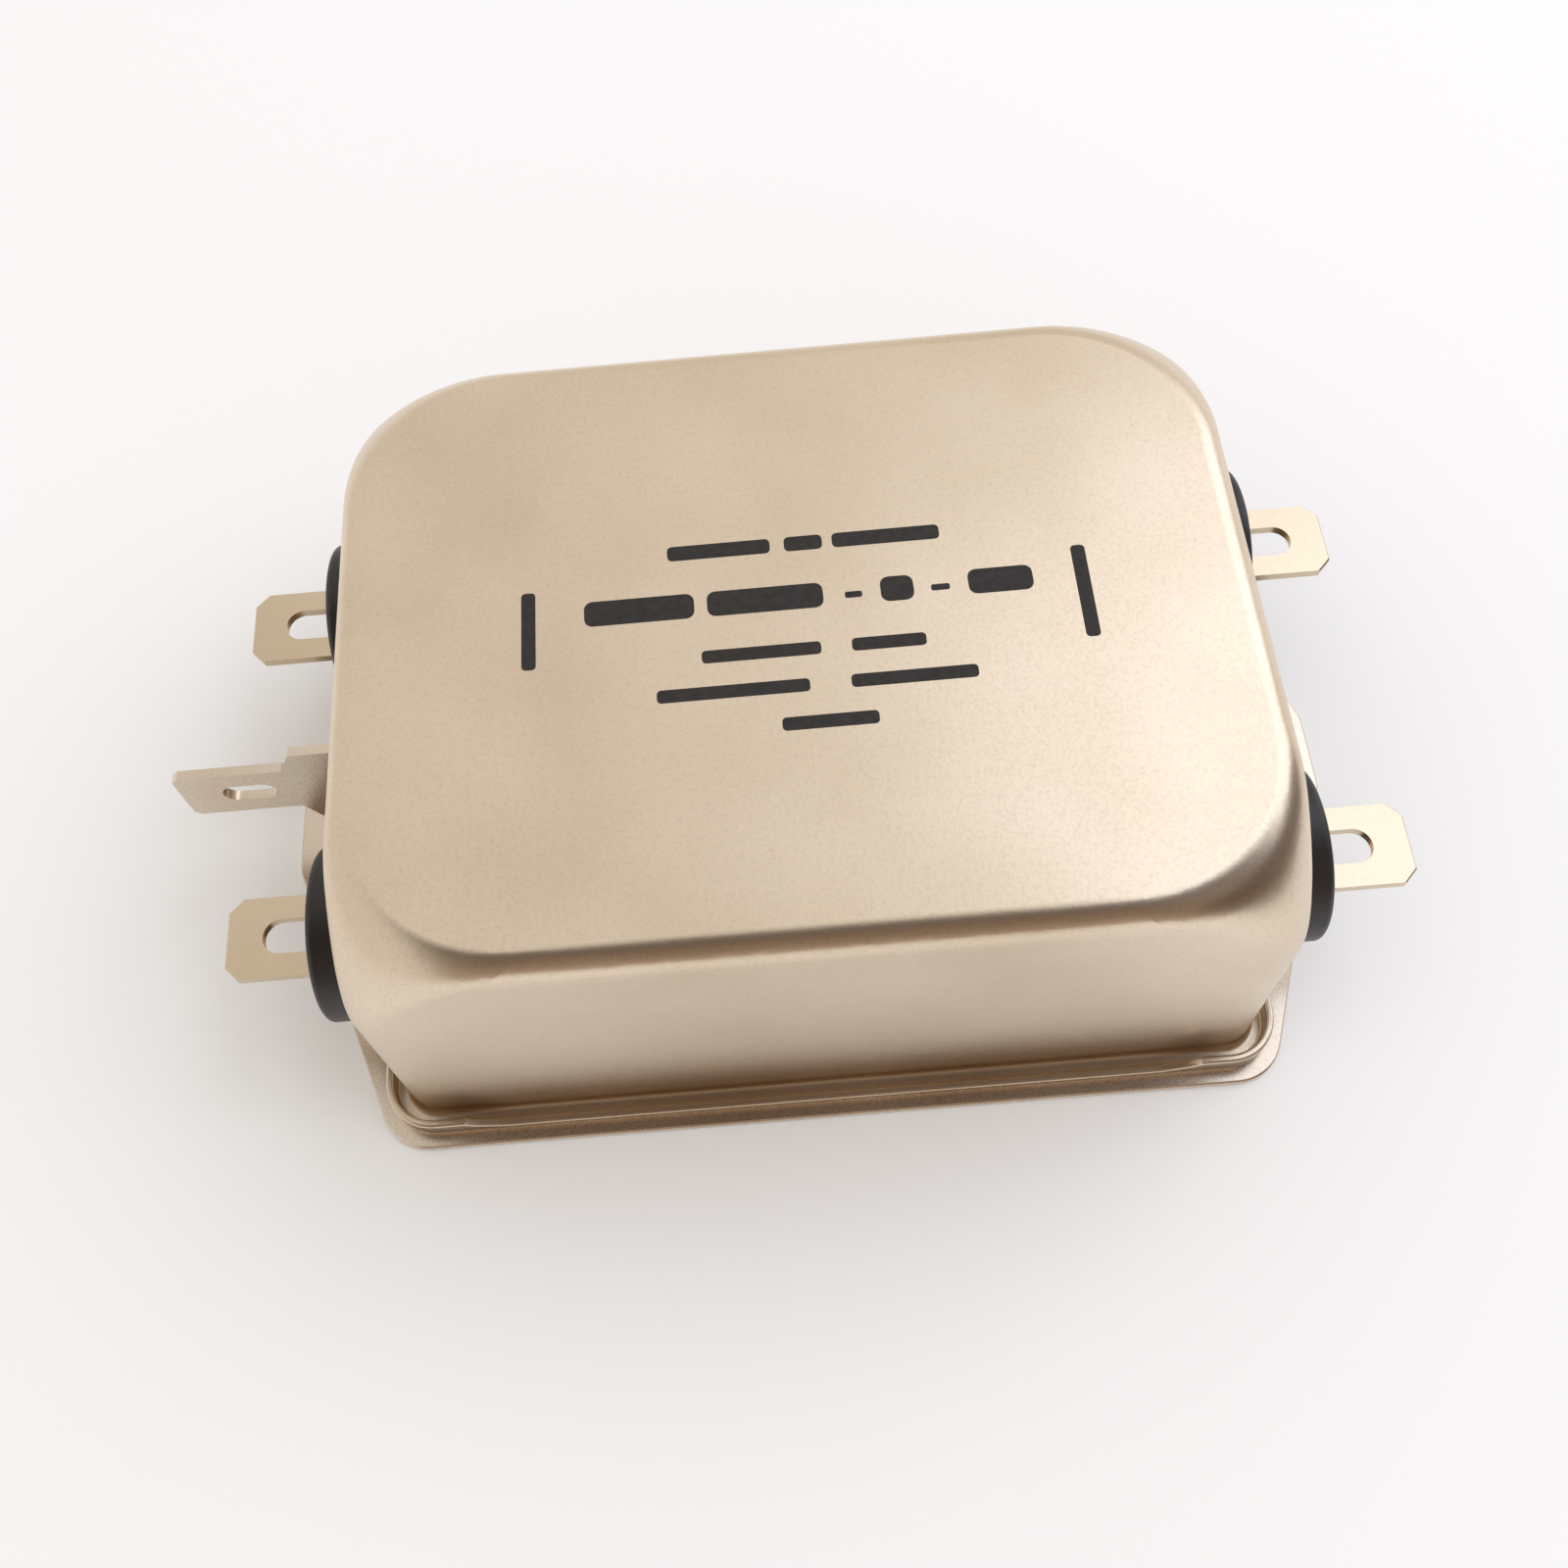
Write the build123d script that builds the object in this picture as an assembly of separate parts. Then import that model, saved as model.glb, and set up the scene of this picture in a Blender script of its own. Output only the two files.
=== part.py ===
from build123d import *
import os
from math import cos, radians, sin, sqrt

# Single-phase power line filter for chassis mounting: a drawn steel can on a base plate with two ears.
# Millimetres, +Z up. The origin lies in the mounting plane, midway between the two ear slots.
# +X points to the load end, -X to the line end, which also carries the earth blade.

# Base plate: its sides stand out past the rim of the can, its shoulders lie just inside the rim
PLATE_MARGIN = 0.95
SHOULDER_INSET = 0.4
EAR_MARGIN = 1.85
EAR_TIP_WIDTH = 6.4
EAR_TIP_ROUND = 3.0
PLATE_CORNER = 4.0
PLATE_SHEET = 0.7
SLOT_PITCH = 75.0
SLOT_LENGTH = 6.3
SLOT_WIDTH = 5.3
PUNCHED_EDGE = 0.12

# Drawn can
CAN_LENGTH = 64.8
CAN_WIDTH = 48.8
CAN_TOP = 30.3
CAN_SHEET = 0.6
CAN_CORNER = 2.3
TOP_ROUND = 1.85
CORNER_BLEND_WIDTH = 6.0
CORNER_BLEND_HEIGHT = 9.5
CORNER_BLEND_POWER = 1.63
BLEND_SECTIONS = 6
ROUND_ANGLES = (18, 36, 54, 72, 90)
WALL_FOOT_ROUND = 0.5

# Turned-up rim round the mouth of the can, lower along the two long sides
RIM_END_OVERHANG = 1.7
RIM_SIDE_OVERHANG = 1.65
RIM_CORNER = 3.8
RIM_BEND = 0.8
RIM_END_HEIGHT = 2.2
RIM_SIDE_HEIGHT = 1.1
RIM_DIP_MARGIN = 9.1
RIM_DIP_RAMP = 4.0
RIM_DIP_ROUND = 3.0
RIM_EDGE_ROUND = 0.2

# Phase blades and their moulded bushings
BLADE_WIDTH = 6.3
BLADE_THICK = 0.8
BLADE_HEIGHT = 12.3
BLADE_PITCH = 27.0
BLADE_REACH = 11.6
BLADE_TAIL = 7.4
BLADE_TIP_CHAMFER = 1.0
BLADE_SLOT_LENGTH = 4.6
BLADE_SLOT_WIDTH = 2.7
BLADE_SLOT_MARGIN = 2.7
BLADE_EDGE = 0.1
BUSHING_DIAMETER = 13.0
BUSHING_PROUD = 4.1
BUSHING_NECK_DIAMETER = 10.4
BUSHING_CLEARANCE = 0.1
BARB_HEIGHT = 0.6
BUSHING_DEPTH = 4.2
BUSHING_EDGE_ROUND = 0.5
BOSS_WIDTH = 7.3
BOSS_HEIGHT = 2.4
BOSS_LENGTH = 0.5
BOSS_ROUND = 0.4

# Earth blade, bent up from one strip and spot-welded to the line end of the can
EARTH_THICK = 0.8
EARTH_TIP_REACH = 16.8
EARTH_SHOULDER_REACH = 6.9
EARTH_BLADE_WIDTH = 6.3
EARTH_BLADE_HEIGHT = 10.7
EARTH_ROOT_TOP = 16.3
EARTH_ROOT_BOTTOM = 5.0
EARTH_STEP_SLOPE = 1.2
EARTH_TIP_CHAMFER = 0.5
EARTH_SLOT_LENGTH = 4.3
EARTH_SLOT_WIDTH = 2.4
EARTH_SLOT_MARGIN = 3.2
EARTH_FOOT_LENGTH = 6.4
EARTH_BEND = 0.5
WELD_DIMPLE_DIAMETER = 2.2
WELD_DIMPLE_DEPTH = 0.15
WELD_DIMPLE_PITCH = 5.5

# Insulation and filling inside the can
LINER_SHEET = 0.4
LINER_HOLE_DIAMETER = 12.2
EARTH_WINDOW_DIAMETER = 4.0
BASE_INSULATOR_SHEET = 0.5
INSULATOR_CLEARANCE = 0.3
COMPOUND_LIFT = 3.3
CHOKE_CLEARANCE = 0.15

# Ring choke: it fills the room that the two film capacitors leave, above the blade tails
CORE_SECTION = 5.0
CORE_EDGE_ROUND = 0.8
CORE_LIFT = 2.6
CHOKE_HEADROOM = 0.8
CHOKE_LINE_GAP = 2.9
CHOKE_LOAD_GAP = 1.85
WIRE_DIAMETER = 1.1
WIRE_BEND = 0.9
WIRE_CLEARANCE = 0.1
TURN_PITCH = 1.7
WINDING_ANGLE = 130.0
DIVIDER_THICK = 1.2

# Capacitors, resistor and leads
X_CAP_LENGTH = 18.0
X_CAP_THICK = 8.5
X_CAP_LIFT = 0.6
X_CAP_HEADROOM = 2.3
X_CAP_PIN_PITCH = 15.0
X_CAP_EDGE_ROUND = 0.5
LINE_X_CAP_DEPTH = 14.15
LOAD_X_CAP_DEPTH = 10.0
PIN_DIAMETER = 0.8
Y_CAP_DIAMETER = 8.5
Y_CAP_THICK = 4.0
Y_CAP_DEPTH = 6.8
Y_CAP_OFFSET = 4.0
Y_CAP_LIFT = 1.55
Y_CAP_PIN_PITCH = 5.0
Y_CAP_EDGE_ROUND = 1.0
RESISTOR_DIAMETER = 2.6
RESISTOR_LENGTH = 7.0
RESISTOR_END_ROUND = 0.4
RESISTOR_WIRE = 0.6
RESISTOR_WIRE_MARGIN = 4.5
RESISTOR_CLEARANCE = 0.1
LEAD_BEND = 1.6
LEAD_OVERLAP = 1.8

# How near an edge or corner must lie to a level to be picked by it
NEAR = 0.01

# Places, levels and radii that several pieces share
WALL_X = CAN_LENGTH / 2
RIM_LENGTH = CAN_LENGTH + 2 * RIM_END_OVERHANG
RIM_WIDTH = CAN_WIDTH + 2 * RIM_SIDE_OVERHANG
LINE_X_CAP_X = LINE_X_CAP_DEPTH - WALL_X
LOAD_X_CAP_X = WALL_X - LOAD_X_CAP_DEPTH
Y_CAP_X = Y_CAP_DEPTH - WALL_X
BLADE_Y = BLADE_PITCH / 2
Y_CAP_Y = BLADE_Y - Y_CAP_OFFSET
LEAD_HEIGHT = BLADE_HEIGHT - BLADE_THICK / 2 - WIRE_DIAMETER / 2
LEAD_TOP = BLADE_HEIGHT - BLADE_THICK / 2
BLADE_TOP = BLADE_HEIGHT + BLADE_THICK / 2
LINER_TOP = CAN_TOP - CAN_SHEET - LINER_SHEET
COMPOUND_LEVEL = BLADE_TOP + COMPOUND_LIFT
X_CAP_BOTTOM = LEAD_TOP + X_CAP_LIFT
X_CAP_TOP = LINER_TOP - X_CAP_HEADROOM
Y_CAP_HEIGHT = BLADE_TOP + Y_CAP_LIFT + Y_CAP_DIAMETER / 2
CHOKE_LINE_END = LINE_X_CAP_X + X_CAP_THICK / 2 + CHOKE_LINE_GAP
CHOKE_LOAD_END = LOAD_X_CAP_X - X_CAP_THICK / 2 - CHOKE_LOAD_GAP
CHOKE_X = (CHOKE_LOAD_END + CHOKE_LINE_END) / 2
CHOKE_RADIUS = (CHOKE_LOAD_END - CHOKE_LINE_END) / 2
WIRE_OFFSET = WIRE_DIAMETER / 2 + WIRE_CLEARANCE
WINDING_TOP = LINER_TOP - CHOKE_HEADROOM
CORE_TOP = WINDING_TOP - WIRE_DIAMETER - WIRE_CLEARANCE
CORE_BOTTOM = BLADE_TOP + CORE_LIFT
CORE_CENTRE_HEIGHT = (CORE_TOP + CORE_BOTTOM) / 2
CORE_RADIUS = CHOKE_RADIUS - WIRE_DIAMETER - WIRE_CLEARANCE
BORE_RADIUS = CORE_RADIUS - CORE_SECTION
RUN_OUTER = CORE_RADIUS + WIRE_OFFSET
RUN_INNER = BORE_RADIUS - WIRE_OFFSET
RUN_RISE = (CORE_TOP - CORE_BOTTOM) / 2 + WIRE_OFFSET
TURNS = int(radians(WINDING_ANGLE) * RUN_INNER / TURN_PITCH)
FIRST_TURN = 90 - WINDING_ANGLE / 2


def rounded_block(length, width, corner, bottom, height):
    """Upright block with round corners, standing on the level bottom."""
    return extrude(Plane.XY.offset(bottom) * RectangleRounded(length, width, corner), height)


def cup_form(inset, bottom):
    """Solid form of the drawn cup, kept inside its outer skin by inset: upright walls with close
    corners, a round top edge, and corners that sweep in wide towards the top, as drawing leaves them."""
    length = CAN_LENGTH - 2 * inset
    width = CAN_WIDTH - 2 * inset
    corner = CAN_CORNER - inset
    top = CAN_TOP - inset
    edge = TOP_ROUND - inset
    blend_width = CORNER_BLEND_WIDTH - inset
    blend_height = CORNER_BLEND_HEIGHT - inset

    def section(height):
        rise = min(1.0, max(0.0, 1 - (top - height) / edge))
        climb = min(1.0, max(0.0, 1 - (top - height) / blend_height))
        side_inset = edge * (1 - sqrt(1 - rise * rise))
        share = 1 - climb ** CORNER_BLEND_POWER
        corner_inset = blend_width * (1 - share ** (1 / CORNER_BLEND_POWER))
        radius = corner + (corner_inset - sqrt(2) * side_inset) / (sqrt(2) - 1)
        outline = RectangleRounded(length - 2 * side_inset, width - 2 * side_inset, radius)
        return Plane.XY.offset(height) * outline

    start = top - blend_height
    step = (blend_height - edge) / (BLEND_SECTIONS - 1)
    lower = [start + step * number for number in range(BLEND_SECTIONS)]
    upper = [top - edge * (1 - sin(radians(angle))) for angle in ROUND_ANGLES]
    crown = loft([section(height) for height in lower + upper])
    return rounded_block(length, width, corner, bottom, start - bottom) + crown


def lowest_edges(shape):
    """Edges that lie on the lowest level of a shape."""
    return shape.edges().group_by(Axis.Z)[0]


def upright_edges_at(shape, x, y):
    """Upright edges of a shape at one place."""
    return [edge for edge in shape.edges().filter_by(Axis.Z)
            if abs(edge.center().X - x) < NEAR and abs(edge.center().Y - y) < NEAR]


def make_rim():
    """Flange that lies on the base plate, its margin bent up into a lip."""
    rim = rounded_block(RIM_LENGTH, RIM_WIDTH, RIM_CORNER, PLATE_SHEET, RIM_END_HEIGHT)
    rim = fillet(lowest_edges(rim), RIM_BEND)
    tray = rounded_block(RIM_LENGTH - 2 * CAN_SHEET, RIM_WIDTH - 2 * CAN_SHEET,
                         RIM_CORNER - CAN_SHEET, PLATE_SHEET + CAN_SHEET, RIM_END_HEIGHT)
    rim -= fillet(lowest_edges(tray), RIM_BEND - CAN_SHEET)
    low = PLATE_SHEET + RIM_SIDE_HEIGHT
    high = PLATE_SHEET + RIM_END_HEIGHT
    half = RIM_LENGTH / 2 - RIM_DIP_MARGIN
    ramp = half + RIM_DIP_RAMP
    dip = Polygon((-half, low), (half, low), (ramp, high), (ramp, 2 * high), (-ramp, 2 * high),
                  (-ramp, high), align=None)
    dip = fillet([corner for corner in dip.vertices() if corner.Y < high + NEAR], RIM_DIP_ROUND)
    rim -= extrude(Plane.XZ * dip, RIM_WIDTH, both=True)
    lip_top = [edge for edge in rim.edges() if edge.bounding_box().min.Z > low - NEAR
               and edge.bounding_box().size.X + edge.bounding_box().size.Y > CAN_SHEET + NEAR]
    return fillet(lip_top, RIM_EDGE_ROUND)


def end_hole(sign, y, height, diameter):
    """Drill through an end wall, along X, reaching both ways past the wall and the liner."""
    plane = Plane(origin=(sign * WALL_X, y, height), z_dir=(sign, 0, 0))
    return extrude(plane * Circle(diameter / 2), BUSHING_DEPTH, both=True)


def make_can():
    """Drawn can with its rim, one piece of sheet, with a round hole for each bushing."""
    can = cup_form(0, PLATE_SHEET) + make_rim() - cup_form(CAN_SHEET, PLATE_SHEET)
    floor = PLATE_SHEET + CAN_SHEET
    foot = [edge for edge in can.edges()
            if abs(edge.center().Z - floor) < NEAR and abs(edge.bounding_box().size.Z) < NEAR
            and abs(edge.center().X) <= WALL_X + NEAR and abs(edge.center().Y) <= CAN_WIDTH / 2 + NEAR]
    can = fillet(foot, WALL_FOOT_ROUND)
    for sign in (-1, 1):
        for y in (-BLADE_Y, BLADE_Y):
            can -= end_hole(sign, y, BLADE_HEIGHT, BUSHING_NECK_DIAMETER + 2 * BUSHING_CLEARANCE)
    return can


def make_base_plate():
    """Punched base plate whose slanting ends run out into the two slotted ears."""
    tip, flat = (SLOT_PITCH + SLOT_LENGTH) / 2 + EAR_MARGIN, EAR_TIP_WIDTH / 2
    shoulder, side = RIM_LENGTH / 2 - SHOULDER_INSET, RIM_WIDTH / 2 + PLATE_MARGIN
    outline = Polygon((tip, -flat), (tip, flat), (shoulder, side), (-shoulder, side),
                      (-tip, flat), (-tip, -flat), (-shoulder, -side), (shoulder, -side), align=None)
    ends = [corner for corner in outline.vertices() if abs(corner.X) > (tip + shoulder) / 2]
    outline = fillet(ends, EAR_TIP_ROUND)
    sides = [corner for corner in outline.vertices() if abs(corner.Y) > side - NEAR]
    outline = fillet(sides, PLATE_CORNER)
    for sign in (-1, 1):
        outline -= Pos(sign * SLOT_PITCH / 2, 0) * SlotOverall(SLOT_LENGTH, SLOT_WIDTH)
    plate = extrude(outline, PLATE_SHEET)
    return chamfer(plate.faces().sort_by(Axis.Z)[-1].edges(), PUNCHED_EDGE)


def make_blade(sign, y):
    """Flat tinned quick-connect blade with a long eye, its tail inside the can."""
    tip = WALL_X + BLADE_REACH
    tail = WALL_X - BLADE_TAIL
    strip = Pos((tip + tail) / 2, 0) * Rectangle(tip - tail, BLADE_WIDTH)
    ends = [corner for corner in strip.vertices() if corner.X > tip - NEAR]
    strip = chamfer(ends, BLADE_TIP_CHAMFER)
    eye = tip - BLADE_SLOT_MARGIN - BLADE_SLOT_LENGTH / 2
    strip -= Pos(eye, 0) * SlotOverall(BLADE_SLOT_LENGTH, BLADE_SLOT_WIDTH)
    blade = extrude(Plane.XY.offset(-BLADE_THICK / 2) * strip, BLADE_THICK)
    rims = [edge for edge in blade.edges()
            if edge.bounding_box().size.Z < NEAR and edge.center().X > tip - BLADE_TIP_CHAMFER - NEAR]
    blade = chamfer(rims, BLADE_EDGE)
    turn = 0 if sign > 0 else 180
    return Pos(0, y, BLADE_HEIGHT) * Rot(0, 0, turn) * blade


def bushing_place(sign, y):
    """Plane on an end wall with its normal outwards and its x direction up."""
    return Plane(origin=(sign * WALL_X, y, BLADE_HEIGHT), x_dir=(0, 0, 1), z_dir=(sign, 0, 0))


def make_bushing(sign, y):
    """Moulded bushing: a round head against the wall, a neck in the wall, a snap barb behind it, and a
    low boss round the blade."""
    neck = BUSHING_NECK_DIAMETER / 2
    head = extrude(Circle(BUSHING_DIAMETER / 2), BUSHING_PROUD)
    head = fillet(head.faces().sort_by(Axis.Z)[-1].edges(), BUSHING_EDGE_ROUND)
    shaft = extrude(Circle(neck), -BUSHING_DEPTH)
    wedge = Polygon((0, -BUSHING_DEPTH), (neck - BARB_HEIGHT, -BUSHING_DEPTH),
                    (neck + BARB_HEIGHT, -CAN_SHEET), (0, -CAN_SHEET), align=None)
    barb = revolve(Plane.XZ * wedge, Axis.Z)
    boss_outline = RectangleRounded(BOSS_HEIGHT, BOSS_WIDTH, BOSS_ROUND)
    boss = extrude(boss_outline, BUSHING_PROUD + BOSS_LENGTH)
    slot = Box(BLADE_THICK, BLADE_WIDTH, 2 * (BUSHING_PROUD + BOSS_LENGTH + BUSHING_DEPTH))
    return bushing_place(sign, y) * (head + shaft + barb + boss - slot)


def make_earth_blade():
    """Earth blade standing on edge, with a stepped root and a foot bent flat against the end wall."""
    wall = -WALL_X
    tip = wall - EARTH_TIP_REACH
    shoulder = wall - EARTH_SHOULDER_REACH
    low = EARTH_BLADE_HEIGHT - EARTH_BLADE_WIDTH / 2
    high = EARTH_BLADE_HEIGHT + EARTH_BLADE_WIDTH / 2
    side = Polygon((wall, EARTH_ROOT_BOTTOM), (wall, EARTH_ROOT_TOP), (shoulder, EARTH_ROOT_TOP),
                   (shoulder - EARTH_STEP_SLOPE, high), (tip, high), (tip, low),
                   (shoulder - EARTH_STEP_SLOPE, low), (shoulder, EARTH_ROOT_BOTTOM), align=None)
    ends = [corner for corner in side.vertices() if corner.X < tip + NEAR]
    side = chamfer(ends, EARTH_TIP_CHAMFER)
    eye = tip + EARTH_SLOT_MARGIN + EARTH_SLOT_LENGTH / 2
    side -= Pos(eye, EARTH_BLADE_HEIGHT) * SlotOverall(EARTH_SLOT_LENGTH, EARTH_SLOT_WIDTH)
    blade = extrude(Plane.XZ * side, EARTH_THICK / 2, both=True)
    foot_height = EARTH_ROOT_TOP - EARTH_ROOT_BOTTOM
    foot_middle = (EARTH_ROOT_TOP + EARTH_ROOT_BOTTOM) / 2
    foot_end = EARTH_FOOT_LENGTH - EARTH_THICK / 2
    foot = Pos(wall - EARTH_THICK / 2, (foot_end - EARTH_THICK / 2) / 2, foot_middle) * Box(
        EARTH_THICK, EARTH_FOOT_LENGTH, foot_height)
    strip = blade + foot
    strip = fillet(upright_edges_at(strip, wall - EARTH_THICK, EARTH_THICK / 2), EARTH_BEND)
    strip = fillet(upright_edges_at(strip, wall, -EARTH_THICK / 2), EARTH_BEND + EARTH_THICK / 2)
    for shift in (-WELD_DIMPLE_PITCH / 2, WELD_DIMPLE_PITCH / 2):
        spot = Plane(origin=(wall - EARTH_THICK, foot_end / 2 + EARTH_BEND, foot_middle + shift),
                     z_dir=(1, 0, 0))
        strip -= extrude(spot * Circle(WELD_DIMPLE_DIAMETER / 2), WELD_DIMPLE_DEPTH)
    return strip


def make_liner():
    """Insulating liner that follows the inside of the can, with windows for bushings and earth lead."""
    floor = PLATE_SHEET + BASE_INSULATOR_SHEET
    liner = cup_form(CAN_SHEET, floor) - cup_form(CAN_SHEET + LINER_SHEET, floor)
    for sign in (-1, 1):
        for y in (-BLADE_Y, BLADE_Y):
            liner -= end_hole(sign, y, BLADE_HEIGHT, LINER_HOLE_DIAMETER)
    return liner - end_hole(-1, 0, LEAD_HEIGHT, EARTH_WINDOW_DIAMETER)


def make_base_insulator():
    """Insulating sheet laid on the base plate, inside the mouth of the can."""
    shrink = 2 * (CAN_SHEET + INSULATOR_CLEARANCE)
    corner = CAN_CORNER - CAN_SHEET - INSULATOR_CLEARANCE
    return rounded_block(CAN_LENGTH - shrink, CAN_WIDTH - shrink, corner, PLATE_SHEET,
                         BASE_INSULATOR_SHEET)


def x_capacitor_body(x):
    """Moulded box of a film capacitor."""
    middle = (X_CAP_BOTTOM + X_CAP_TOP) / 2
    box = Pos(x, 0, middle) * Box(X_CAP_THICK, X_CAP_LENGTH, X_CAP_TOP - X_CAP_BOTTOM)
    return fillet(box.edges().filter_by(Axis.Z), X_CAP_EDGE_ROUND)


def make_x_capacitor(x):
    """Film capacitor across the mains, its two pins cut off at the leads below it."""
    capacitor = x_capacitor_body(x)
    for y in (-X_CAP_PIN_PITCH / 2, X_CAP_PIN_PITCH / 2):
        capacitor += Pos(x, y, LEAD_TOP) * extrude(Circle(PIN_DIAMETER / 2), X_CAP_BOTTOM - LEAD_TOP)
    return capacitor


def y_capacitor_body(y):
    """Coated disc of a ceramic capacitor, standing on edge across X."""
    plane = Plane(origin=(Y_CAP_X - Y_CAP_THICK / 2, y, Y_CAP_HEIGHT), z_dir=(1, 0, 0))
    disc = extrude(plane * Circle(Y_CAP_DIAMETER / 2), Y_CAP_THICK)
    return fillet(disc.edges().filter_by(GeomType.CIRCLE), Y_CAP_EDGE_ROUND)


def make_y_capacitor(side):
    """Disc capacitor to earth: the outer pin meets the blade tail, the inner one the earth lead."""
    middle = side * Y_CAP_Y
    capacitor = y_capacitor_body(middle)
    for share, level in ((1, BLADE_TOP), (-1, LEAD_TOP)):
        y = middle + side * share * Y_CAP_PIN_PITCH / 2
        capacitor += Pos(Y_CAP_X, y, level) * extrude(Circle(PIN_DIAMETER / 2), Y_CAP_HEIGHT - level)
    return capacitor


def make_resistor():
    """Discharge resistor under the line capacitor, its wires beside the two leads."""
    x = LINE_X_CAP_X - WIRE_DIAMETER / 2 - RESISTOR_WIRE / 2
    height = X_CAP_BOTTOM - RESISTOR_CLEARANCE - RESISTOR_DIAMETER / 2
    axis = Plane(origin=(x, 0, height), z_dir=(0, 1, 0))
    body = extrude(axis * Circle(RESISTOR_DIAMETER / 2), RESISTOR_LENGTH / 2, both=True)
    body = fillet(body.edges().filter_by(GeomType.CIRCLE), RESISTOR_END_ROUND)
    reach = BLADE_Y - RESISTOR_WIRE_MARGIN
    return body + extrude(axis * Circle(RESISTOR_WIRE / 2), reach, both=True)


def wire_along(points, radius):
    """Round wire along straight runs that are joined by tangent bends."""
    path = FilletPolyline(*points, radius=radius)
    start = Plane(origin=path @ 0, z_dir=path % 0)
    return sweep(start * Circle(WIRE_DIAMETER / 2), path=path)


def around_core(angle, radius, rise):
    """Point at an angle round the core axis."""
    return (CHOKE_X + radius * cos(radians(angle)), radius * sin(radians(angle)),
            CORE_CENTRE_HEIGHT + rise)


def make_winding(side):
    """One winding of the ring choke: separate upright turns that step along the underside, with both
    wire ends led straight down to the leads."""
    step = WINDING_ANGLE / TURNS
    drop = LEAD_TOP - CORE_CENTRE_HEIGHT
    points = [around_core(FIRST_TURN, RUN_OUTER, drop)]
    for turn in range(TURNS):
        angle = FIRST_TURN + step * turn
        points.append(around_core(angle, RUN_OUTER, RUN_RISE))
        points.append(around_core(angle, RUN_INNER, RUN_RISE))
        points.append(around_core(angle, RUN_INNER, -RUN_RISE))
        if turn < TURNS - 1:
            points.append(around_core(angle + step, RUN_OUTER, -RUN_RISE))
    last = FIRST_TURN + WINDING_ANGLE
    points.append(around_core(last, RUN_OUTER, -RUN_RISE))
    points.append(around_core(last, RUN_OUTER, drop))
    placed = [(x, side * y, z) for x, y, z in points]
    return wire_along(placed, WIRE_BEND)


def make_core():
    """Coated ferrite ring."""
    ring = Circle(CORE_RADIUS) - Circle(BORE_RADIUS)
    core = extrude(Plane.XY.offset(CORE_BOTTOM) * ring, CORE_TOP - CORE_BOTTOM)
    return Pos(CHOKE_X, 0, 0) * fillet(core.edges().filter_by(GeomType.CIRCLE), CORE_EDGE_ROUND)


def make_divider():
    """Insulating wall across the bore of the core, between the two windings."""
    bore = Circle(BORE_RADIUS) & Rectangle(2 * BORE_RADIUS, DIVIDER_THICK)
    bottom = Plane.XY.offset(CORE_BOTTOM + CORE_EDGE_ROUND)
    height = CORE_TOP - CORE_BOTTOM - 2 * CORE_EDGE_ROUND
    return Pos(CHOKE_X, 0, 0) * extrude(bottom * bore, height)


def make_lead(sign, side):
    """Lead from under a blade tail, past the pin of the capacitor, to a wire end of the choke."""
    blade_end = sign * (WALL_X - BLADE_TAIL + LEAD_OVERLAP)
    pin_x = LOAD_X_CAP_X if sign > 0 else LINE_X_CAP_X
    angle = FIRST_TURN if sign > 0 else FIRST_TURN + WINDING_ANGLE
    wire_end = around_core(angle, RUN_OUTER, 0)
    past = wire_end[0] - sign * WIRE_DIAMETER / 2
    points = ((blade_end, BLADE_Y), (pin_x, BLADE_Y), (pin_x, wire_end[1]), (past, wire_end[1]))
    return wire_along([(x, side * y, LEAD_HEIGHT) for x, y in points], LEAD_BEND)


def make_earth_lead():
    """Wire that joins the inner pins of both disc capacitors and runs on to the wall of the can."""
    reach = Y_CAP_Y - Y_CAP_PIN_PITCH / 2 + PIN_DIAMETER
    across = Plane(origin=(Y_CAP_X, 0, LEAD_HEIGHT), z_dir=(0, 1, 0))
    wire = extrude(across * Circle(WIRE_DIAMETER / 2), reach, both=True)
    along = Plane(origin=(Y_CAP_X, 0, LEAD_HEIGHT), z_dir=(-1, 0, 0))
    return wire + extrude(along * Circle(WIRE_DIAMETER / 2), WALL_X - CAN_SHEET + Y_CAP_X)


def make_compound():
    """Potting compound in the upper part of the can, cast round the components."""
    block = cup_form(CAN_SHEET + LINER_SHEET, COMPOUND_LEVEL)
    pocket = RUN_OUTER + WIRE_DIAMETER / 2 + CHOKE_CLEARANCE
    level = Plane.XY.offset(COMPOUND_LEVEL)
    block -= Pos(CHOKE_X, 0, 0) * extrude(level * Circle(pocket), WINDING_TOP - COMPOUND_LEVEL)
    block -= x_capacitor_body(LINE_X_CAP_X)
    block -= x_capacitor_body(LOAD_X_CAP_X)
    for side in (-1, 1):
        block -= y_capacitor_body(side * Y_CAP_Y)
        for sign in (-1, 1):
            block -= end_hole(sign, side * BLADE_Y, BLADE_HEIGHT, LINER_HOLE_DIAMETER)
    return block


def save(shape, name):
    """Write one node."""
    export_step(shape, f"parts/{name}.step")


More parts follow.
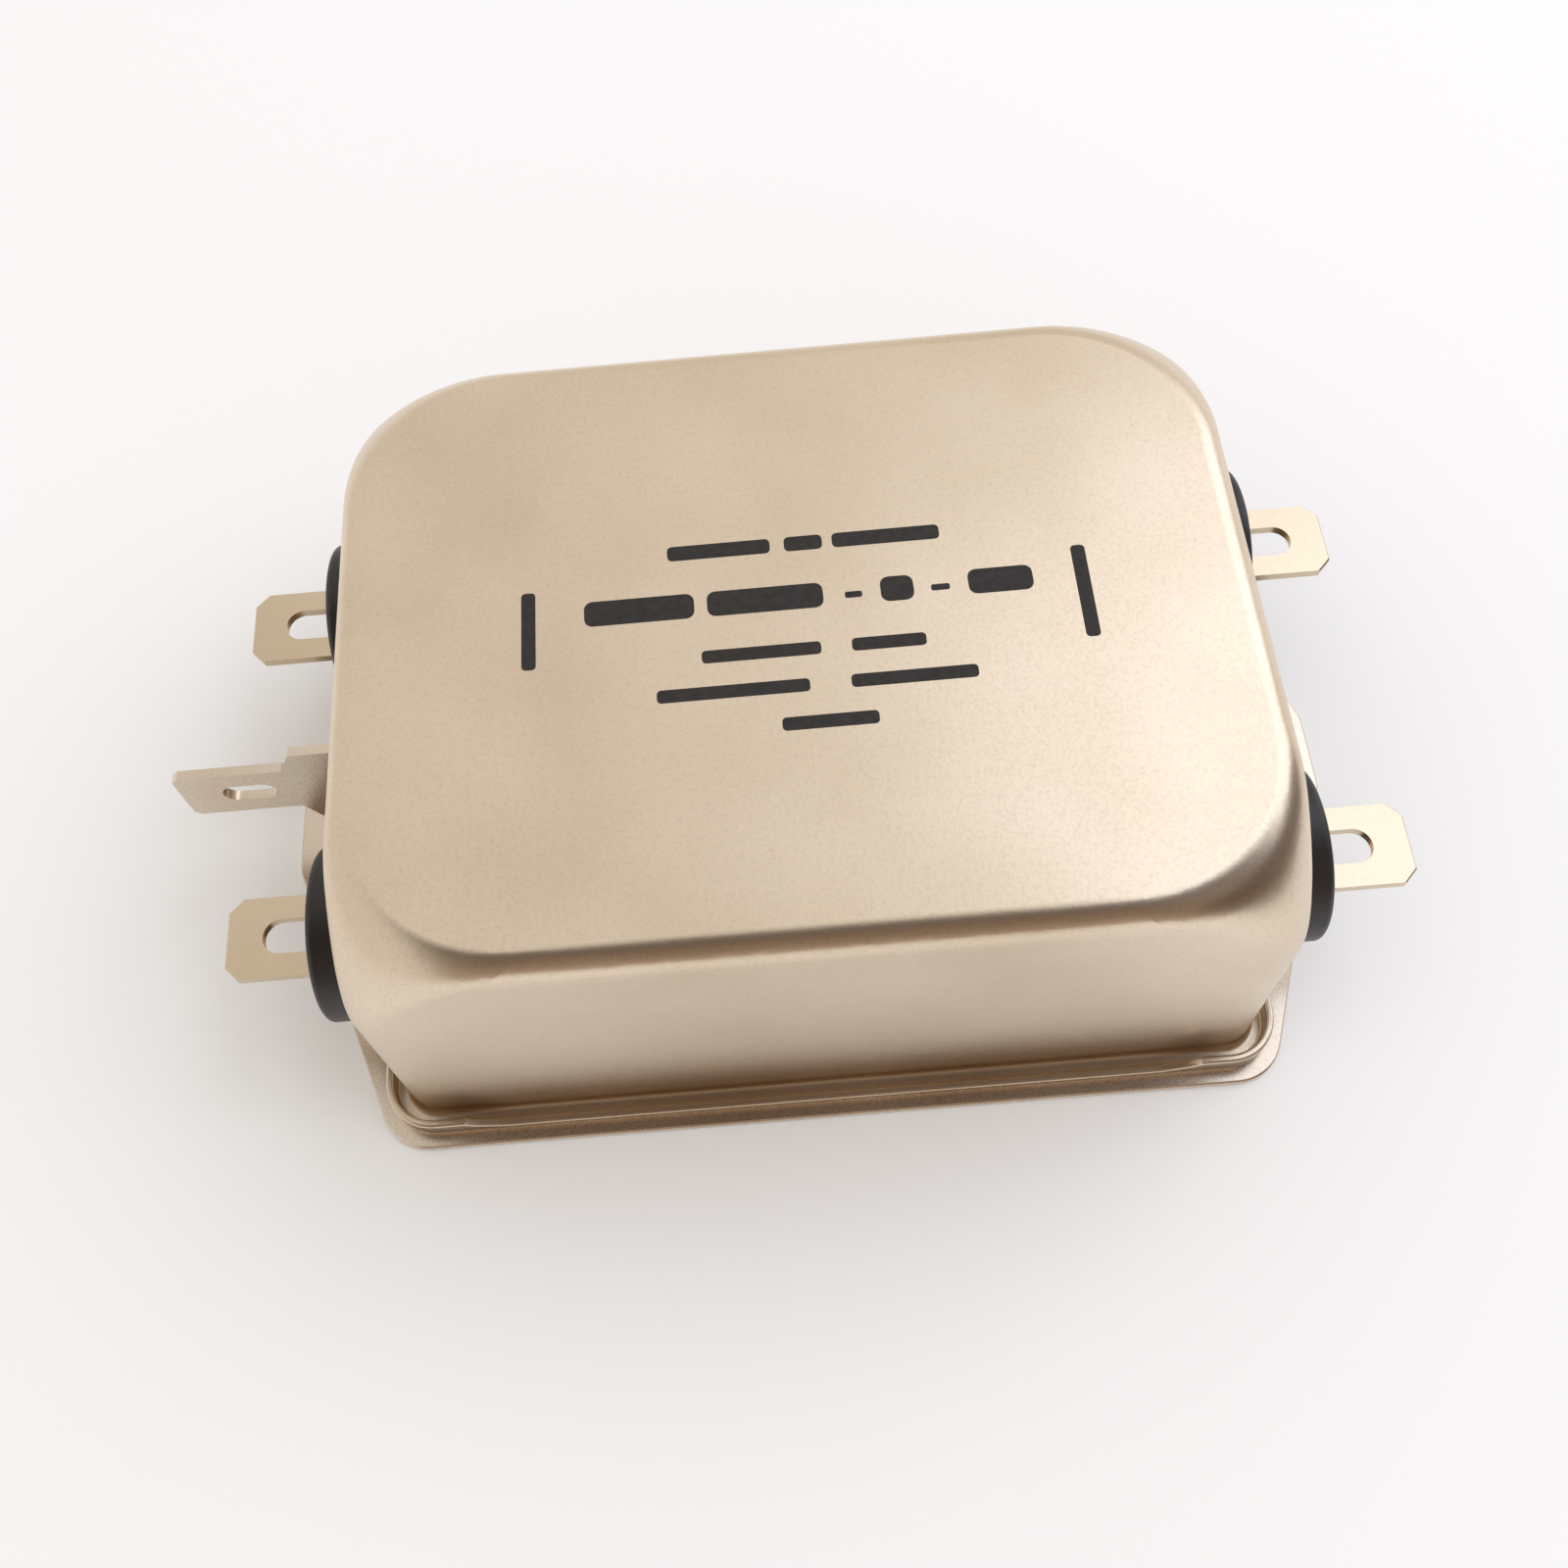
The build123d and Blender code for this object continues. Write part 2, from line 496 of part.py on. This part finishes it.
os.makedirs("parts", exist_ok=True)
save(make_base_plate(), "base_plate")
save(make_can(), "can")
save(make_earth_blade(), "earth_blade")
save(make_liner(), "can_liner")
save(make_base_insulator(), "base_insulator")
save(make_compound(), "potting_compound")
save(make_core(), "choke_core")
save(make_divider(), "choke_divider")
save(make_x_capacitor(LINE_X_CAP_X), "line_x_capacitor")
save(make_x_capacitor(LOAD_X_CAP_X), "load_x_capacitor")
save(make_resistor(), "discharge_resistor")
save(make_earth_lead(), "earth_lead")
for side, letter in ((1, "a"), (-1, "b")):
    save(make_winding(side), f"choke_winding_{letter}")
    save(make_y_capacitor(side), f"y_capacitor_{letter}")
    for sign, end in ((-1, "line"), (1, "load")):
        save(make_blade(sign, side * BLADE_Y), f"{end}_blade_{letter}")
        save(make_bushing(sign, side * BLADE_Y), f"{end}_bushing_{letter}")
        save(make_lead(sign, side), f"{end}_lead_{letter}")
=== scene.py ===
import math

import bpy
from mathutils import Matrix, Vector


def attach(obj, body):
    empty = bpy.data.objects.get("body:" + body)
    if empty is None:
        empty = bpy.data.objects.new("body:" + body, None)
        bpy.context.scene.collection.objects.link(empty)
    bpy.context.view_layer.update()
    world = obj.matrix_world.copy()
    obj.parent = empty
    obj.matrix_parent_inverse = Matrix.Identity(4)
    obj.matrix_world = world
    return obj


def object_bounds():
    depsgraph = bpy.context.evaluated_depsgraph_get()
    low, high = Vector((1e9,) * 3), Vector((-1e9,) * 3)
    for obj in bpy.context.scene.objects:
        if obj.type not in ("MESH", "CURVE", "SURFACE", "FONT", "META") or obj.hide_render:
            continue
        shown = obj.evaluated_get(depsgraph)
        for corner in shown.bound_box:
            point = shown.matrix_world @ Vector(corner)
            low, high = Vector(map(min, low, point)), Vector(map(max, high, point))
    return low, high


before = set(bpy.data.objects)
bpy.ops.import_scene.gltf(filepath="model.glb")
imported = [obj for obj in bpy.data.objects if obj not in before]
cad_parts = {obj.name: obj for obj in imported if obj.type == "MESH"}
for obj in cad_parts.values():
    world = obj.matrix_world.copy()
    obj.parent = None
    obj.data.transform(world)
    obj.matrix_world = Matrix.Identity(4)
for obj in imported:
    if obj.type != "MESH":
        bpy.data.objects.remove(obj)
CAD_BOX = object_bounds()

MM = 0.001
MM_IN_A_METRE = 1000

# The top of the can is the highest level of the part
TOP_LEVEL = CAD_BOX[1][2]

# Camera: fitted to the photograph, taken as 1600 by 1600 pixels
LENS = 39.17
SENSOR = 36.0
CLIP_NEAR = 0.01
CLIP_FAR = 10
CAMERA_TARGET = Vector((-3.61, 2.40, 21.53)) * MM
CAMERA_DISTANCE = 126.78 * MM
CAMERA_HEIGHT_ANGLE = math.radians(60.19)
CAMERA_TURN = math.radians(1.67)
CAMERA_ROLL = math.radians(6.37)
SHIFT_ACROSS = 0.0244
SHIFT_UP = -0.0849

# Studio, in metres and watts
ROOM_COLOUR = "#f6f0e9"
ROOM_STRENGTH = 0.89
FLOOR_COLOUR = "#fcfcfc"
FLOOR_SIZE = 4
FLOOR_LEVEL = -0.0001
WINDOW_PLACE = Vector((0.845, 0.26, 0.95))
WINDOW_AIM = Vector((0, 0, 0.02))
WINDOW_SIZE = 1.40
WINDOW_POWER = 8.0
WINDOW_COLOUR = "#dce8ff"

# Studio cards, in metres and degrees
CARDS = (
    {"name": "front_card", "place": (0.25, -0.425, 0.40), "lean": 43, "turn": 0,
     "width": 1.4, "height": 1.16, "low_colour": "#b59e8a", "high_colour": "#281a13"},
    {"name": "right_card", "place": (0.20, -0.075, 0.062), "lean": 82, "turn": 70,
     "width": 0.28, "height": 0.125, "low_colour": "#6b5443", "high_colour": "#4a392d"},
)

# Bars of ink on the can, in millimetres: each row as its middle, its width and the ends of its
# bars along x, each column likewise along y
INK_THICKNESS = 0.012 * MM
BAR_CORNER_SHARE = 0.3
BAR_CORNER_STEPS = 4
PRINT_ROWS = (
    (5.75, 1.2, ((-8.5, -1.2), (-0.2, 2.5), (3.2, 10.8))),
    (1.35, 2.0, ((-14.5, -6.8), (-5.9, 2.2), (6.2, 8.5), (12.3, 16.8))),
    (1.15, 0.5, ((3.7, 4.9), (9.7, 11.0))),
    (-2.85, 1.0, ((-6.5, 1.7), (3.8, 8.9))),
    (-5.65, 1.0, ((-9.7, 0.7), (3.5, 12.1))),
    (-8.5, 1.0, ((-1.4, 5.1),)),
)
PRINT_COLUMNS = ((-18.4, 1.0, (-2.7, 3.5)), (20.2, 1.0, (-3.8, 3.6)))

# Sizes of the patterns and depths of their relief, in millimetres
PLATING_PATCH = 14
RESIN_PATCH = 5
WIRE_PATCH = 3
WIRE_GRAIN = 0.4
WIRE_GRAIN_DEPTH = 0.002
FIBRE = 0.4
FIBRE_DEPTH = 0.03
INK_PATCH = 0.5
INK_GRAIN = 0.2
INK_GRAIN_DEPTH = 0.002

# Strength of the relief, and the parts of a noise, out of 0 to 1, that drifts and specks use
RELIEF_STRENGTH = 0.5
DRIFT_LOW, DRIFT_HIGH = 0.3, 0.7
SPECK_LOW, SPECK_HIGH = 0.48, 0.72
SPECK_COLOUR = "#8f7f70"

# Sockets of a Mix node that mixes colours
SHARE, FIRST, SECOND, MIXED = 0, 6, 7, 2


def linear(code):
    """An sRGB hex colour as linear red, green, blue and alpha."""
    parts = [int(code[i:i + 2], 16) / 255 for i in (1, 3, 5)]
    return [p / 12.92 if p <= 0.04045 else ((p + 0.055) / 1.055) ** 2.4 for p in parts] + [1.0]


def add(tree, kind, inputs=None, **settings):
    """One node with its settings, its values and its links."""
    made = tree.nodes.new(kind)
    for name, value in settings.items():
        setattr(made, name, value)
    for socket, value in (inputs or {}).items():
        if isinstance(value, bpy.types.NodeSocket):
            tree.links.new(value, made.inputs[socket])
        else:
            made.inputs[socket].default_value = value
    return made


def place_camera():
    """Camera at the photograph's height, turn and roll."""
    flat = math.cos(CAMERA_HEIGHT_ANGLE)
    back = Vector((math.sin(CAMERA_TURN) * flat, -math.cos(CAMERA_TURN) * flat,
                   math.sin(CAMERA_HEIGHT_ANGLE)))
    right = Vector((math.cos(CAMERA_TURN), math.sin(CAMERA_TURN), 0))
    up = back.cross(right)
    across = right * math.cos(CAMERA_ROLL) - up * math.sin(CAMERA_ROLL)
    upward = right * math.sin(CAMERA_ROLL) + up * math.cos(CAMERA_ROLL)
    lens = bpy.data.cameras.new("photo_camera")
    lens.lens, lens.sensor_width = LENS, SENSOR
    lens.shift_x, lens.shift_y = SHIFT_ACROSS, SHIFT_UP
    lens.clip_start, lens.clip_end = CLIP_NEAR, CLIP_FAR
    camera = bpy.data.objects.new("photo_camera", lens)
    bpy.context.collection.objects.link(camera)
    turn = Matrix((across, upward, back)).transposed().to_4x4()
    camera.matrix_world = Matrix.Translation(CAMERA_TARGET + back * CAMERA_DISTANCE) @ turn
    bpy.context.scene.camera = camera


def hang_window():
    """Large soft box, high on the right and pointed at the part, as daylight from a window."""
    data = bpy.data.lights.new("window", "AREA")
    data.size, data.energy = WINDOW_SIZE, WINDOW_POWER
    data.color = linear(WINDOW_COLOUR)[:3]
    lamp = bpy.data.objects.new("window", data)
    bpy.context.collection.objects.link(lamp)
    turn = (WINDOW_AIM - WINDOW_PLACE).to_track_quat("-Z", "Y").to_matrix().to_4x4()
    lamp.matrix_world = Matrix.Translation(WINDOW_PLACE) @ turn


def hang_card(name, place, lean, turn, width, height, low_colour, high_colour):
    """Brown card that only reflections show. It draws the edges of the can darker, as the
    darker parts of a room do."""
    bpy.ops.object.select_all(action="DESELECT")
    bpy.ops.mesh.primitive_plane_add(size=1)
    card = bpy.context.object
    card.name = name
    card.scale = (width, height, 1)
    card.rotation_euler = (math.radians(lean), 0, math.radians(turn))
    card.location = place
    bpy.ops.object.transform_apply(location=True, rotation=True, scale=True)
    levels = [corner[2] for corner in card.bound_box]
    board = bpy.data.materials.new(name)
    board.use_nodes = True
    tree = board.node_tree
    tree.nodes.clear()
    point = add(tree, "ShaderNodeTexCoord")
    parts = add(tree, "ShaderNodeSeparateXYZ", {"Vector": point.outputs["Object"]})
    rise = add(tree, "ShaderNodeMapRange", {"Value": parts.outputs["Z"],
                                            "From Min": min(levels), "From Max": max(levels)})
    tone = add(tree, "ShaderNodeMix", {SHARE: rise.outputs[0], FIRST: linear(low_colour),
                                       SECOND: linear(high_colour)}, data_type="RGBA")
    glow = add(tree, "ShaderNodeEmission", {"Color": tone.outputs[MIXED], "Strength": 1.0})
    add(tree, "ShaderNodeOutputMaterial", {"Surface": glow.outputs[0]})
    card.data.materials.append(board)
    card.visible_camera = card.visible_diffuse = card.visible_shadow = False


def lay_floor():
    """Sheet of matt white paper under the part."""
    bpy.ops.object.select_all(action="DESELECT")
    bpy.ops.mesh.primitive_plane_add(size=FLOOR_SIZE, location=(0, 0, FLOOR_LEVEL))
    floor = bpy.context.object
    floor.name = "floor"
    bpy.ops.object.transform_apply(location=True)
    paper = bpy.data.materials.new("white_sweep_paper")
    paper.use_nodes = True
    tree = paper.node_tree
    tree.nodes.clear()
    matt = add(tree, "ShaderNodeBsdfDiffuse", {"Color": linear(FLOOR_COLOUR)})
    add(tree, "ShaderNodeOutputMaterial", {"Surface": matt.outputs[0]})
    floor.data.materials.append(paper)


def set_up_studio():
    """Even pale surroundings, one large soft box, two brown cards and a white floor."""
    world = bpy.data.worlds.new("studio")
    bpy.context.scene.world = world
    world.use_nodes = True
    room = world.node_tree.nodes["Background"]
    room.inputs["Color"].default_value = linear(ROOM_COLOUR)
    room.inputs["Strength"].default_value = ROOM_STRENGTH
    hang_window()
    for card in CARDS:
        hang_card(**card)
    lay_floor()
    bpy.context.scene.view_settings.view_transform = "Standard"


def new_material(name):
    """Material with a Principled shader, and its Object coordinates in millimetres."""
    material = bpy.data.materials.new(name)
    material.use_nodes = True
    tree = material.node_tree
    shader = tree.nodes["Principled BSDF"]
    point = add(tree, "ShaderNodeTexCoord")
    scaled = add(tree, "ShaderNodeMapping", {"Vector": point.outputs["Object"],
                                             "Scale": [MM_IN_A_METRE] * 3})
    return material, tree, shader, scaled.outputs[0]


def mottle(tree, place, size, pale, dark):
    """Colour that drifts softly between two shades, in patches about size millimetres across."""
    patches = add(tree, "ShaderNodeTexNoise", {"Vector": place, "Scale": 1 / size,
                                               "Detail": 2.0})
    share = add(tree, "ShaderNodeMapRange", {"Value": patches.outputs["Fac"],
                                             "From Min": DRIFT_LOW, "From Max": DRIFT_HIGH})
    tone = add(tree, "ShaderNodeMix", {SHARE: share.outputs[0], FIRST: linear(dark),
                                       SECOND: linear(pale)}, data_type="RGBA")
    return tone.outputs[MIXED]


def speckle(tree, place, size, tone, strength):
    """The tone with fine dull specks on it, about size millimetres across."""
    spots = add(tree, "ShaderNodeTexNoise", {"Vector": place, "Scale": 1 / size,
                                             "Detail": 5.0, "Roughness": 0.7})
    amount = add(tree, "ShaderNodeMapRange", {"Value": spots.outputs["Fac"],
                                              "From Min": SPECK_LOW, "From Max": SPECK_HIGH,
                                              "To Max": strength})
    dulled = add(tree, "ShaderNodeMix", {SHARE: amount.outputs[0], FIRST: tone,
                                         SECOND: linear(SPECK_COLOUR)}, data_type="RGBA")
    return dulled.outputs[MIXED]


def roughen(tree, shader, place, size, depth, rough, swing):
    """Grain, with its size and depth in millimetres, that stands up a little and makes the
    gleam uneven."""
    grain = add(tree, "ShaderNodeTexNoise", {"Vector": place, "Scale": 1 / size,
                                             "Detail": 4.0, "Roughness": 0.6})
    uneven = add(tree, "ShaderNodeMapRange", {"Value": grain.outputs["Fac"],
                                              "From Min": DRIFT_LOW, "From Max": DRIFT_HIGH,
                                              "To Min": rough - swing, "To Max": rough + swing})
    tree.links.new(uneven.outputs[0], shader.inputs["Roughness"])
    relief = add(tree, "ShaderNodeBump", {"Height": grain.outputs["Fac"],
                                          "Distance": depth * MM, "Strength": RELIEF_STRENGTH})
    tree.links.new(relief.outputs[0], shader.inputs["Normal"])


def plated_sheet(name, pale, dark, rough, grain, depth, speck):
    """Satin plating on rolled sheet: soft reflections, a faintly uneven tone and fine dull
    specks. The real grain of the plating is too fine to show, so it is drawn two or three
    tenths of a millimetre wide."""
    material, tree, shader, place = new_material(name)
    tone = mottle(tree, place, PLATING_PATCH, pale, dark)
    tree.links.new(speckle(tree, place, grain, tone, speck), shader.inputs["Base Color"])
    shader.inputs["Metallic"].default_value = 1.0
    roughen(tree, shader, place, grain, depth, rough, swing=0.02)
    return material


def moulded_resin(name, pale, dark, rough, grain, depth):
    """Moulded, cast or dipped resin: even colour and the skin that the mould or dip leaves. A
    moulded skin is finer than it could show, so it is drawn two or three tenths of a
    millimetre wide."""
    material, tree, shader, place = new_material(name)
    tree.links.new(mottle(tree, place, RESIN_PATCH, pale, dark), shader.inputs["Base Color"])
    roughen(tree, shader, place, grain, depth, rough, swing=0.07)
    return material


def drawn_wire(name, pale, dark, rough):
    """Drawn wire, enamelled or tinned: bright, with a gleam that is a little uneven."""
    material, tree, shader, place = new_material(name)
    tree.links.new(mottle(tree, place, WIRE_PATCH, pale, dark), shader.inputs["Base Color"])
    shader.inputs["Metallic"].default_value = 1.0
    roughen(tree, shader, place, WIRE_GRAIN, WIRE_GRAIN_DEPTH, rough, swing=0.05)
    return material


def pressboard(name, pale, dark, rough):
    """Calendered pressboard: matt, with clumps of fibre. A single fibre is too fine to show."""
    material, tree, shader, place = new_material(name)
    tree.links.new(mottle(tree, place, FIBRE, pale, dark), shader.inputs["Base Color"])
    roughen(tree, shader, place, FIBRE, FIBRE_DEPTH, rough, swing=0.03)
    return material


def printed_ink(name, pale, dark, rough):
    """Pad-printed ink: satin, a little paler where it lies thinly."""
    material, tree, shader, place = new_material(name)
    tree.links.new(mottle(tree, place, INK_PATCH, pale, dark), shader.inputs["Base Color"])
    roughen(tree, shader, place, INK_GRAIN, INK_GRAIN_DEPTH, rough, swing=0.05)
    return material


def ink_bar(left, right, low, high):
    """Bar of ink with rounded corners on the top of the can, from its edges in millimetres."""
    left, right, low, high = (edge * MM for edge in (left, right, low, high))
    width, height = right - left, high - low
    middle = ((left + right) / 2, (low + high) / 2, TOP_LEVEL)
    bpy.ops.object.select_all(action="DESELECT")
    bpy.ops.mesh.primitive_plane_add(size=1, location=middle)
    bar = bpy.context.object
    bar.scale = (width, height, 1)
    bpy.ops.object.transform_apply(location=True, rotation=True, scale=True)
    bpy.ops.object.mode_set(mode="EDIT")
    bpy.ops.mesh.select_all(action="SELECT")
    bpy.ops.mesh.bevel(offset=BAR_CORNER_SHARE * min(width, height),
                       segments=BAR_CORNER_STEPS, affect="VERTICES")
    bpy.ops.mesh.select_all(action="SELECT")
    bpy.ops.mesh.extrude_region_move(TRANSFORM_OT_translate={"value": (0, 0, INK_THICKNESS)})
    bpy.ops.mesh.select_all(action="SELECT")
    bpy.ops.mesh.normals_make_consistent(inside=False)
    bpy.ops.object.mode_set(mode="OBJECT")
    return bar


def make_print(ink):
    """Rows and columns of plain bars on the top of the can, joined to one piece."""
    bars = []
    for middle, width, ends in PRINT_ROWS:
        for left, right in ends:
            bars.append(ink_bar(left, right, middle - width / 2, middle + width / 2))
    for middle, width, (low, high) in PRINT_COLUMNS:
        bars.append(ink_bar(middle - width / 2, middle + width / 2, low, high))
    bpy.ops.object.select_all(action="DESELECT")
    for bar in bars:
        bar.select_set(True)
    bpy.context.view_layer.objects.active = bars[0]
    bpy.ops.object.join()
    bars[0].name = "printed_bars"
    bars[0].data.materials.append(ink)
    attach(bars[0], "root")


def dress(material, *names):
    """Gives CAD nodes a material."""
    for name in names:
        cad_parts[name].material_slots[0].material = material


place_camera()
set_up_studio()

# Deep-drawn sheet: a warm satin gleam over the soft grain that drawing leaves
dress(plated_sheet("satin_nickel_plated_drawn_steel", "#e7d7c1", "#ddccb3", rough=0.31,
                   grain=0.28, depth=0.014, speck=0.19), "can")

# Punched sheet, hardly worked: paler and smoother than the can
dress(plated_sheet("satin_nickel_plated_punched_steel", "#e2d5c4", "#d6c6b3", rough=0.27,
                   grain=0.24, depth=0.008, speck=0.12), "base_plate", "earth_blade")

# Rolled contact strip: the smoothest of the metals, a little yellower
dress(plated_sheet("tin_plated_brass", "#dccbb2", "#d1bfa4", rough=0.24,
                   grain=0.18, depth=0.003, speck=0.08),
      "line_blade_a", "line_blade_b", "load_blade_a", "load_blade_b")

# Moulded nylon: nearly black, with a broad dull gleam
dress(moulded_resin("black_moulded_nylon", "#2b2627", "#1f1b1c", rough=0.42,
                    grain=0.18, depth=0.010),
      "line_bushing_a", "line_bushing_b", "load_bushing_a", "load_bushing_b")

# The rest is sealed inside the can. Pressboard: buff and dull
dress(pressboard("electrical_pressboard", "#cdb98f", "#b49d70", rough=0.85),
      "can_liner", "base_insulator")

# Cast compound: black and fairly glossy, slightly uneven
dress(moulded_resin("cast_epoxy_resin", "#26221f", "#191614", rough=0.35,
                    grain=0.6, depth=0.02), "potting_compound")

# Powder coat on the core: green, glossy and slightly lumpy
dress(moulded_resin("epoxy_coated_ferrite", "#3d6b48", "#2c5236", rough=0.38,
                    grain=0.5, depth=0.03), "choke_core")

# Undyed moulded nylon: creamy white with a soft gleam
dress(moulded_resin("natural_nylon_divider", "#e8e1cd", "#d6cdb4", rough=0.5,
                    grain=0.2, depth=0.01), "choke_divider")

# Clear enamel on copper: bright red-brown
dress(drawn_wire("enamelled_copper_wire", "#c0683c", "#9a4a26", rough=0.22),
      "choke_winding_a", "choke_winding_b")

# Tinned copper: silvery grey and soft in its gleam
dress(drawn_wire("tinned_copper_wire", "#d2cdc4", "#b8b2a8", rough=0.3),
      "line_lead_a", "line_lead_b", "load_lead_a", "load_lead_b", "earth_lead")

# Moulded capacitor boxes: yellow, with a fine mould skin
dress(moulded_resin("flame_retardant_polyester_box", "#dcb13c", "#c99a25", rough=0.4,
                    grain=0.3, depth=0.01), "line_x_capacitor", "load_x_capacitor")

# Dipped discs: blue and glossy, slightly wavy
dress(moulded_resin("dipped_ceramic_disc_coat", "#3f7fb4", "#2d6696", rough=0.3,
                    grain=0.8, depth=0.03), "y_capacitor_a", "y_capacitor_b")

# Lacquered body of the resistor: tan, smooth and glossy
dress(moulded_resin("lacquered_resistor_body", "#d3b68a", "#bf9f70", rough=0.35,
                    grain=0.5, depth=0.01), "discharge_resistor")

# Black ink on the can: dull beside the metal
make_print(printed_ink("pad_printed_black_ink", "#2a2421", "#1b1715", rough=0.6))
